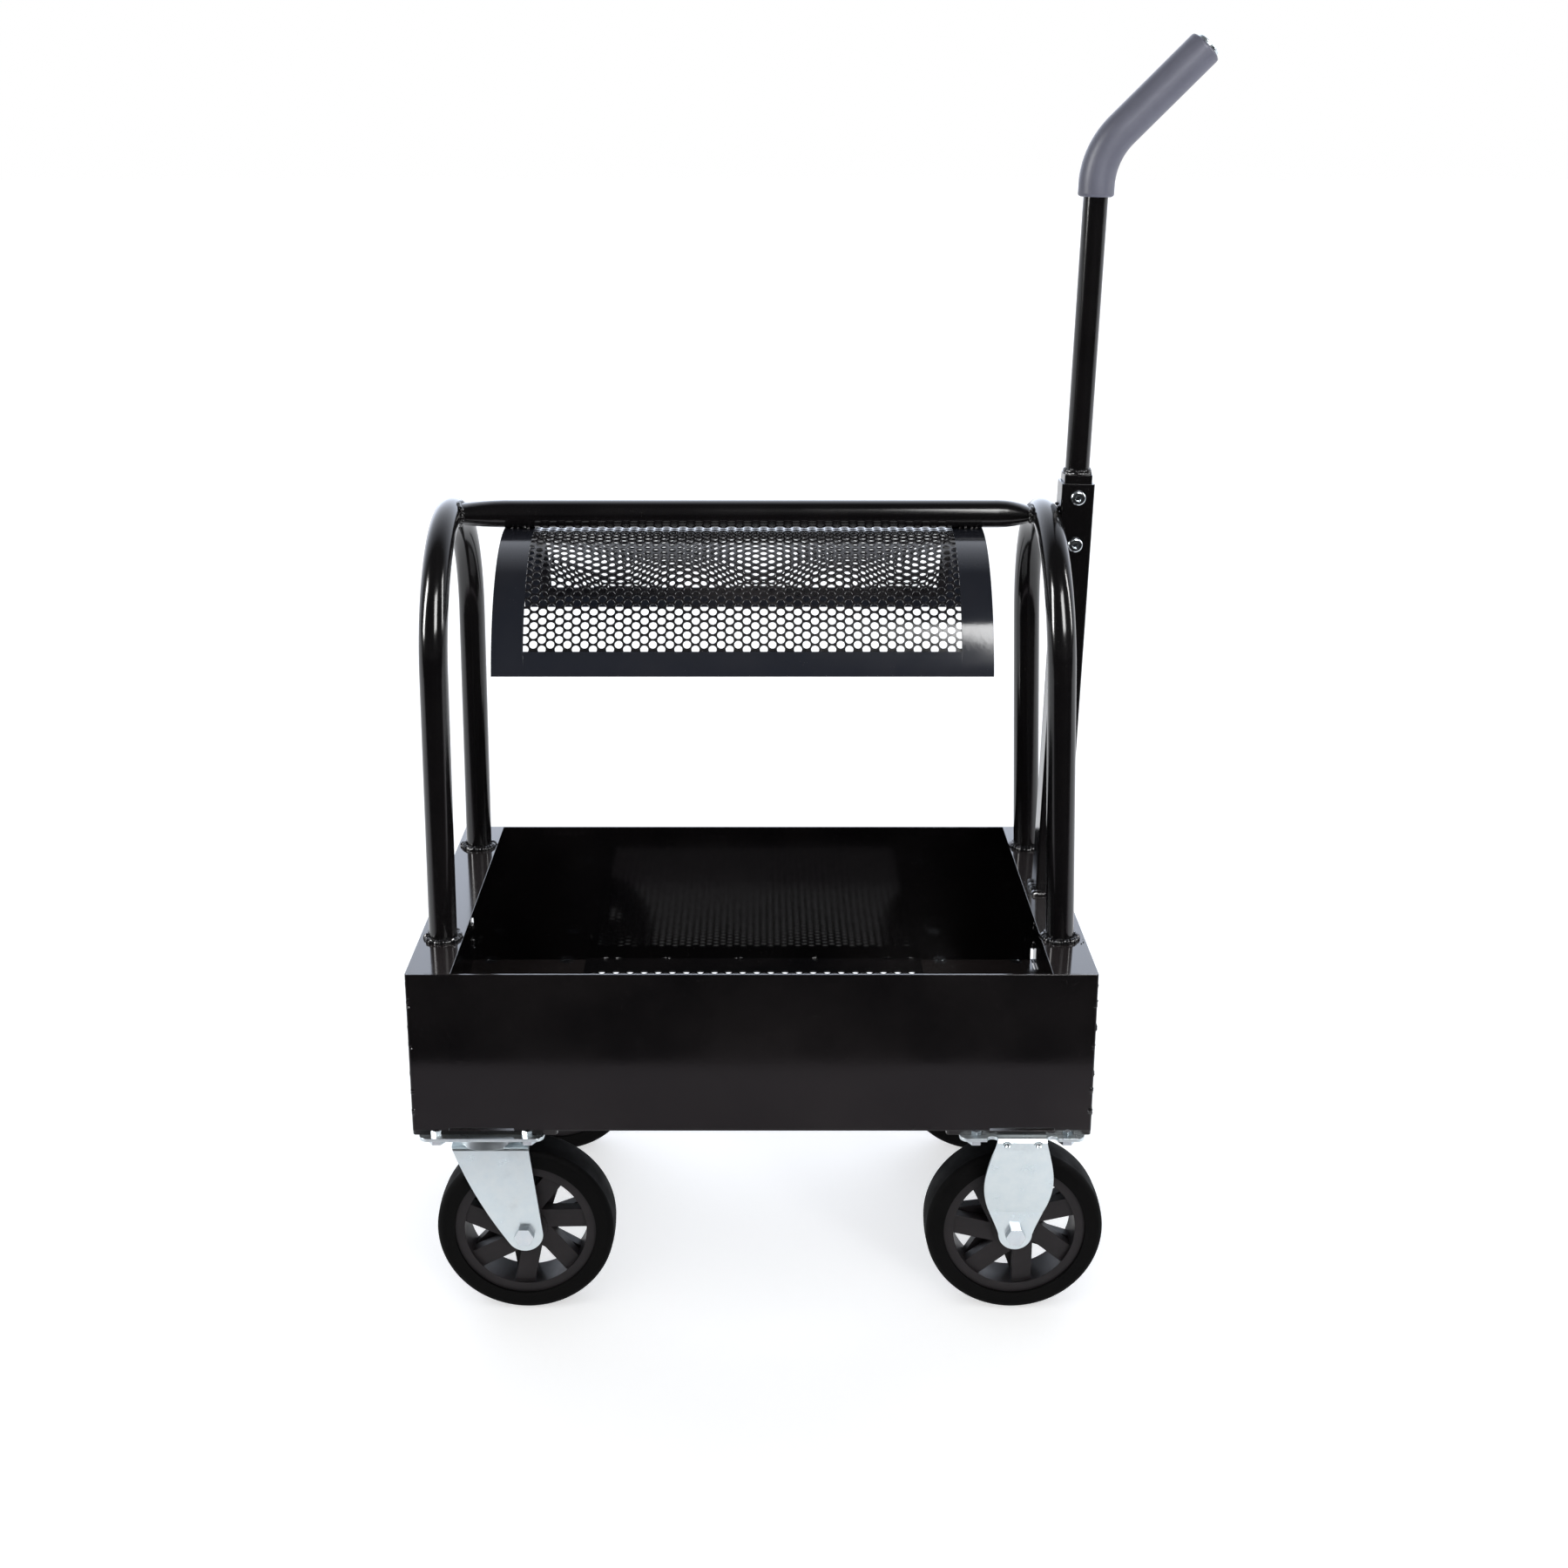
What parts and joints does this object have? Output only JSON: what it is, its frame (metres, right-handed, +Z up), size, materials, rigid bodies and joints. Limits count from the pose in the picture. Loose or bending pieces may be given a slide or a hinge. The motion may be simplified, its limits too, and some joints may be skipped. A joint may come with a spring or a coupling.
{
  "type": "rolling saddle rack",
  "caption": "Rolling saddle rack: steel storage tray on casters, hoops carrying a curved perforated saddle sheet, and a pull handle with a bent grip.",
  "frame": {"origin": "ground level under the centre of the whole rack's plan box", "axes": "+Z up, +X along the tray towards the pull handle, -Y the front"},
  "size_m": [0.7102, 0.402, 1.1424],
  "materials": {
    "black_paint": "gloss black powder coat",
    "zinc_plate": "bright bluish zinc plating, satin",
    "steel": "bare turned steel",
    "tyre_rubber": "matte black rubber",
    "wheel_plastic": "satin moulded plastic",
    "nylon": "satin",
    "grip_foam": "fine matte foam rubber"
  },
  "bodies": {
    "wagon": {"front_panel": "black_paint", "rear_panel": "black_paint", "left_end_channel": "black_paint", "right_end_channel": "black_paint", "left_end_plate": "black_paint", "right_end_plate": "black_paint", "floor_mesh": "black_paint", "left_hoop": "black_paint", "right_hoop": "black_paint", "top_bar": "black_paint", "saddle_mesh": "black_paint", "saddle_left_strip": "black_paint", "saddle_right_strip": "black_paint", "saddle_front_strip": "black_paint", "saddle_rear_strip": "black_paint", "handle_strut": "black_paint", "handle_insert": "black_paint", "handle_tube": "black_paint", "handle_grip": "grip_foam", "handle_end_cap": "zinc_plate", "handle_bolts": "zinc_plate", "handle_nuts": "zinc_plate", "caster_bolts": "zinc_plate", "caster_nuts": "zinc_plate", "front_left_top_plate": "zinc_plate", "front_left_kingpin": "zinc_plate", "rear_left_top_plate": "zinc_plate", "rear_left_kingpin": "zinc_plate", "front_right_rigid_fork": "zinc_plate", "front_right_axle_bolt": "zinc_plate", "front_right_axle_nut": "zinc_plate", "front_right_axle_tube": "steel", "rear_right_rigid_fork": "zinc_plate", "rear_right_axle_bolt": "zinc_plate", "rear_right_axle_nut": "zinc_plate", "rear_right_axle_tube": "steel"},
    "front_left_swivel": {"front_left_fork": "zinc_plate", "front_left_race_balls": "steel", "front_left_axle_bolt": "zinc_plate", "front_left_axle_nut": "zinc_plate", "front_left_axle_tube": "steel"},
    "rear_left_swivel": {"rear_left_fork": "zinc_plate", "rear_left_race_balls": "steel", "rear_left_axle_bolt": "zinc_plate", "rear_left_axle_nut": "zinc_plate", "rear_left_axle_tube": "steel"},
    "front_left_wheel": {"front_left_wheel_core": "wheel_plastic", "front_left_tyre": "tyre_rubber", "front_left_wheel_bearing": "nylon"},
    "rear_left_wheel": {"rear_left_wheel_core": "wheel_plastic", "rear_left_tyre": "tyre_rubber", "rear_left_wheel_bearing": "nylon"},
    "front_right_wheel": {"front_right_wheel_core": "wheel_plastic", "front_right_tyre": "tyre_rubber", "front_right_wheel_bearing": "nylon"},
    "rear_right_wheel": {"rear_right_wheel_core": "wheel_plastic", "rear_right_tyre": "tyre_rubber", "rear_right_wheel_bearing": "nylon"}
  },
  "joints": [
    {"name": "front_left_swivel_turn", "type": "hinge", "parent": "wagon", "child": "front_left_swivel", "pos_m": [-0.29311, -0.15, 0.181], "axis": [0, 0, 1], "continuous": true},
    {"name": "rear_left_swivel_turn", "type": "hinge", "parent": "wagon", "child": "rear_left_swivel", "pos_m": [-0.29311, 0.15, 0.181], "axis": [0, 0, 1], "continuous": true},
    {"name": "front_left_wheel_spin", "type": "hinge", "parent": "front_left_swivel", "child": "front_left_wheel", "pos_m": [-0.26011, -0.15, 0.0825], "axis": [0, 1, 0], "continuous": true},
    {"name": "rear_left_wheel_spin", "type": "hinge", "parent": "rear_left_swivel", "child": "rear_left_wheel", "pos_m": [-0.26011, 0.15, 0.0825], "axis": [0, 1, 0], "continuous": true},
    {"name": "front_right_wheel_spin", "type": "hinge", "parent": "wagon", "child": "front_right_wheel", "pos_m": [0.19289, -0.15, 0.0825], "axis": [0, 1, 0], "continuous": true},
    {"name": "rear_right_wheel_spin", "type": "hinge", "parent": "wagon", "child": "rear_right_wheel", "pos_m": [0.19289, 0.15, 0.0825], "axis": [0, 1, 0], "continuous": true}
  ]
}
